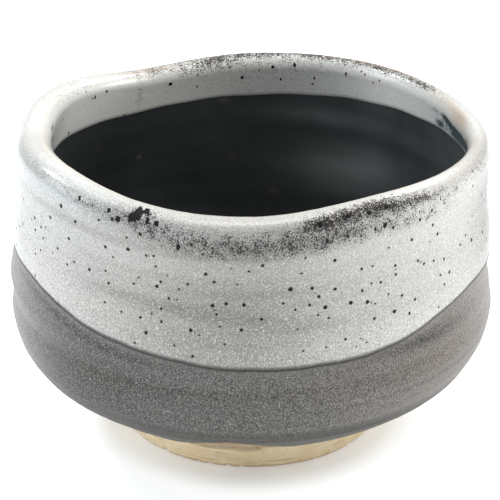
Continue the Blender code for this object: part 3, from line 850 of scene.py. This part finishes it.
def make_inner_black_glaze():
    """The liner: its face from under the white glaze to the middle of the floor, and its back."""
    columns = 600
    angle = headings(columns)
    top = SECTION.along_inside(INNER_LINE_THROWN) + UNDER_WHITE
    bottom = SECTION.first + 0.35
    face = spread(bottom, top, 0.85)
    turn = np.linspace(0.0, 0.5 * math.pi, 5)[1:]
    rows = [(s, BLACK_DEPTH) for s in face]
    hem = BACK_DEPTH - BLACK_DEPTH
    rows += [(top + EDGE_ROUND * math.sin(t), BACK_DEPTH - hem * math.cos(t)) for t in turn]
    rows += [(s, BACK_DEPTH) for s in spread(top, bottom, 4.0)[1:]]
    along, depth = np.array(rows).T
    rise = smooth_step(-75.0, top, along)[:, None] * (inner_edge(angle) + UNDER_WHITE - top)[None]
    along, angle = along[:, None] + rise, np.broadcast_to(angle, rise.shape)
    deep = np.broadcast_to(depth[:, None], rise.shape)
    thing = ring_mesh("black_inner_coat", place(along, deep, angle), closed=False)
    # Painted sheen on the inside wall goes in bloom.
    add_numbers(thing, poles=2, bloom=np.clip(patches(angle, along, BLOOM), 0.0, 1.0),
                pit=np.clip(patches(angle, along, PITS), 0.0, 1.0),
                # Painted shade on the back-left inside wall.
                gloom=0.85 * patch(angle, along, 138.0, -28.0, 26.0, 16.0))
    thing.data.materials.append(black_glaze_material())
    finish_piece(thing, "inner_black_glaze")


def make_clay_body():
    """The thrown clay. It shows between the grey glaze and the foot, and under the bowl."""
    columns = 480
    angle = headings(columns)
    buried = np.concatenate([spread(SECTION.first + 0.4, -6.0, 3.0), spread(-6.0, 6.0, 1.0)[1:],
                             spread(6.0, 54.0, 2.5)[1:]])
    rows = [SECTION.point(s, CLAY_DEPTH) for s in buried]
    rows += [SECTION.point(s, CLAY_DEPTH) for s in spread(54.0, SECTION.last, 0.5)[1:]]
    last = np.array(rows[-1])
    under = [(last[0] - 0.3, UNDERSIDE_HEIGHT + 0.08), (last[0] - 0.8, UNDERSIDE_HEIGHT)]
    under += [(r, UNDERSIDE_HEIGHT) for r in spread(last[0] - 1.4, RECESS_RADIUS, 0.8)]
    turn = np.linspace(0.0, 0.5 * math.pi, 6)[1:]
    recess = [(RECESS_RADIUS - 2.0 * math.sin(t), RECESS_HEIGHT - 1.2 * math.cos(t)) for t in turn]
    floor = [(r, RECESS_HEIGHT + 0.5 * (1.0 - (r / 21.5) ** 2)) for r in spread(21.0, 0.5, 0.7)]
    section = np.array(rows + under + recess + floor)
    radius, height = (np.broadcast_to(section[:, k:k + 1], (len(section), columns)) for k in (0, 1))
    angle = np.broadcast_to(angle, radius.shape)
    bowl = np.arange(len(section))[:, None] < len(rows)
    tool = 0.06 * np.sin(2.0 * math.pi * radius / 1.7 + angle) + 0.04 * grain_field(angle, radius, 60, 1.5, 3)
    height = height + np.where(bowl, 0.0, tool * smooth_step(1.0, 6.0, radius))
    ledge = np.exp(-(((height - LEDGE_HEIGHT) / LEDGE_SPREAD) ** 2)) * (radius > LEDGE_FROM_RADIUS)
    ledge = LEDGE_OUT * ledge_share(angle) * ledge
    radius, height = press(radius + ledge, height, angle)
    points = np.stack([radius * np.cos(angle), radius * np.sin(angle), height], axis=-1) * MM
    thing = ring_mesh("bare_clay_body", points, closed=False)
    to_glaze = bare_line(angle) - height
    degrees = np.degrees(angle)
    # Painted shadow in the crease under the trimmed ledge, added to the flash number.
    slot = smooth_step(257.0, 265.0, degrees) * (1.0 - smooth_step(LEDGE_TO - 0.8, LEDGE_TO, degrees))
    seam = slot * (1.0 - smooth_step(9.6, 10.8, height))
    flash = np.where(bowl, 0.85 * np.exp(-((to_glaze / 0.8) ** 2)) + 0.30 + 0.7 * seam, 0.1)
    add_numbers(thing, poles=2, flash=np.clip(flash, 0.0, 1.0))
    thing.data.materials.append(
        clay_material("stoneware_clay", (0.42, 0.325, 0.19), (0.34, 0.25, 0.14), (0.075, 0.050, 0.028), 0.6))
    finish_piece(thing, "clay_body")


def rounded(corners, rounds, steps=6):
    """A closed outline with each corner rounded by its own radius."""
    outline = []
    count = len(corners)
    for k, (corner, size) in enumerate(zip(np.array(corners, float), rounds)):
        before, after = np.array(corners[k - 1], float), np.array(corners[(k + 1) % count], float)
        start = corner + (before - corner) / np.linalg.norm(before - corner) * size
        end = corner + (after - corner) / np.linalg.norm(after - corner) * size
        for t in np.linspace(0.0, 1.0, steps):
            outline.append((1 - t) ** 2 * start + 2 * t * (1 - t) * corner + t * t * end)
    return np.array(outline)


def make_foot_ring():
    """The turned foot: tool lines down its side, and a trimmed lower edge with small nicks."""
    low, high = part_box("foot_ring")
    top_radius, top = high.x / MM, high.z / MM
    inner_top, inner_bottom, bevel = 24.4, 25.8, 1.3
    corners = [
        (top_radius + 0.3, top + 0.5), (top_radius, top - 0.2), (top_radius - 0.1, bevel),
        (top_radius - 1.0, 0.0), (inner_bottom, 0.0), (inner_top, bevel), (inner_top, top + 0.5),
    ]
    outline = rounded(corners, (0.1, 0.4, 0.5, 0.35, 0.6, 0.5, 0.1))
    closed = np.vstack([outline, outline[:1]])
    length = np.concatenate([[0.0], np.cumsum(np.linalg.norm(np.diff(closed, axis=0), axis=1))])
    stops = np.linspace(0.0, length[-1], 96, endpoint=False)
    section = np.stack([np.interp(stops, length, closed[:, k]) for k in (0, 1)], axis=1)
    columns = 720
    angle = np.broadcast_to(headings(columns), (len(section), columns))
    radius, height = (np.broadcast_to(section[:, k:k + 1], angle.shape) for k in (0, 1))
    outer = smooth_step(27.0, 31.5, radius)
    lower = 1.0 - smooth_step(bevel, top, height)
    wander = 0.5 + 0.25 * (np.sin(3.0 * angle + 0.7) + 0.5 * np.sin(7.0 * angle))
    nicks = smooth_step(0.35, 0.9, grain_field(angle, height, 130, 1.3, 21)) * (height < 2.2)
    chatter = 0.05 * np.sin(2.0 * math.pi * height / 0.9 + 2.0 * angle) + 0.05 * grain_field(
        angle, height, 90, 0.8, 22)
    cut = ledge_share(angle) * np.exp(-(((height - top) / 0.55) ** 2))
    pulled = outer * (0.35 * lower * wander + 0.35 * nicks + chatter + 1.7 * cut)
    radius = radius - pulled
    height = height + np.where(height < 0.8, 0.25 * outer * nicks, 0.0)
    points = np.stack([radius * np.cos(angle), radius * np.sin(angle), height], axis=-1) * MM
    thing = ring_mesh("turned_foot", points)
    # Painted shade: the foot is painted darker at its top under the belly, along its contact with the floor
    # and in the trimmed notch.
    shade = 0.55 * smooth_step(top - 1.0, top + 0.3, height) + 0.9 * (1.0 - smooth_step(0.1, 1.2, height))
    add_numbers(thing, flash=np.clip(shade * outer + 0.9 * cut, 0.0, 1.0))
    thing.data.materials.append(
        clay_material("bare_foot_clay", (0.92, 0.795, 0.565), (0.85, 0.69, 0.445), (0.44, 0.28, 0.14), 0.10))
    finish_piece(thing, "foot_ring")


def finish_piece(thing, node):
    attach(thing, "root")
    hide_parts(node)


# ---- the studio ---------------------------------------------------------------------------------

def make_floor():
    bpy.ops.mesh.primitive_circle_add(vertices=96, radius=4.0, fill_type="NGON", location=(0, 0, -0.00005))
    floor = bpy.context.object
    floor.name = "studio_floor"
    material = bpy.data.materials.new("studio_floor")
    material.use_nodes = True
    shader = material.node_tree.nodes["Principled BSDF"]
    shader.inputs["Base Color"].default_value = (0.90, 0.92, 0.94, 1.0)
    shader.inputs["Roughness"].default_value = 0.8
    shader.inputs["Specular IOR Level"].default_value = 0.1
    shader.inputs["Emission Color"].default_value = (0.91, 0.955, 1.0, 1.0)
    nodes, links = material.node_tree.nodes, material.node_tree.links
    middle = nodes.new("ShaderNodeTexCoord")
    distance = nodes.new("ShaderNodeVectorMath")
    distance.operation = "LENGTH"
    # Painted light: the floor glows, and glows less near the bowl, where the dimmer glow is a painted shadow.
    glow = nodes.new("ShaderNodeMapRange")
    for key, value in zip(("From Min", "From Max", "To Min", "To Max"), FLOOR_GLOW):
        glow.inputs[key].default_value = value
    links.new(middle.outputs["Object"], distance.inputs[0])
    links.new(distance.outputs["Value"], glow.inputs["Value"])
    links.new(glow.outputs[0], shader.inputs["Emission Strength"])
    floor.data.materials.append(material)


def make_softbox(name, place_m, size, power, colour=(1.0, 1.0, 1.0)):
    """A square light that faces the bowl."""
    light = bpy.data.lights.new(name, "AREA")
    light.shape = "RECTANGLE"
    light.size, light.size_y = size
    light.energy = power
    light.color = colour
    lamp = bpy.data.objects.new(name, light)
    lamp.location = place_m
    toward = bpy.data.objects.new(name + "_aim", None).location - lamp.location
    lamp.rotation_euler = toward.to_track_quat("-Z", "Y").to_euler()
    bpy.context.scene.collection.objects.link(lamp)


def make_studio():
    make_floor()
    world = bpy.data.worlds.new("studio")
    bpy.context.scene.world = world
    world.use_nodes = True
    background = world.node_tree.nodes["Background"]
    background.inputs["Color"].default_value = (1.0, 0.99, 0.97, 1.0)
    background.inputs["Strength"].default_value = 0.25
    make_softbox("top_softbox", (0.0, 0.16, 1.15), (0.8, 0.5), 6.4)
    make_softbox("left_high_softbox", (-0.72, 0.38, 0.90), (0.32, 0.32), 5.6, (0.97, 0.99, 1.0))
    make_softbox("left_low_softbox", (-0.98, -0.10, 0.55), (0.5, 0.6), 4.8, (0.97, 0.99, 1.0))
    make_softbox("right_high_softbox", (0.48, 0.58, 0.94), (0.30, 0.30), 6.0, (1.0, 0.985, 0.96))
    make_softbox("right_low_softbox", (0.94, -0.10, 0.72), (0.4, 0.5), 6.4, (1.0, 0.985, 0.96))
    bpy.context.scene.view_settings.view_transform = "Standard"
    bpy.context.scene.view_settings.look = "None"


def make_camera():
    camera = bpy.data.cameras.new("camera")
    camera.sensor_width = CAMERA_SENSOR
    camera.lens = CAMERA_LENS
    camera.clip_start = 0.01
    camera.dof.use_dof = False
    eye = bpy.data.objects.new("camera", camera)
    eye.location = CAMERA_PLACE
    eye.rotation_euler = (math.radians(90.0 - CAMERA_PITCH), 0.0, 0.0)
    bpy.context.scene.collection.objects.link(eye)
    bpy.context.scene.camera = eye


def main():
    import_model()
    make_rim_white_glaze()
    make_outer_grey_glaze()
    make_inner_black_glaze()
    make_clay_body()
    make_foot_ring()
    make_studio()
    make_camera()
    bpy.context.view_layer.update()


main()
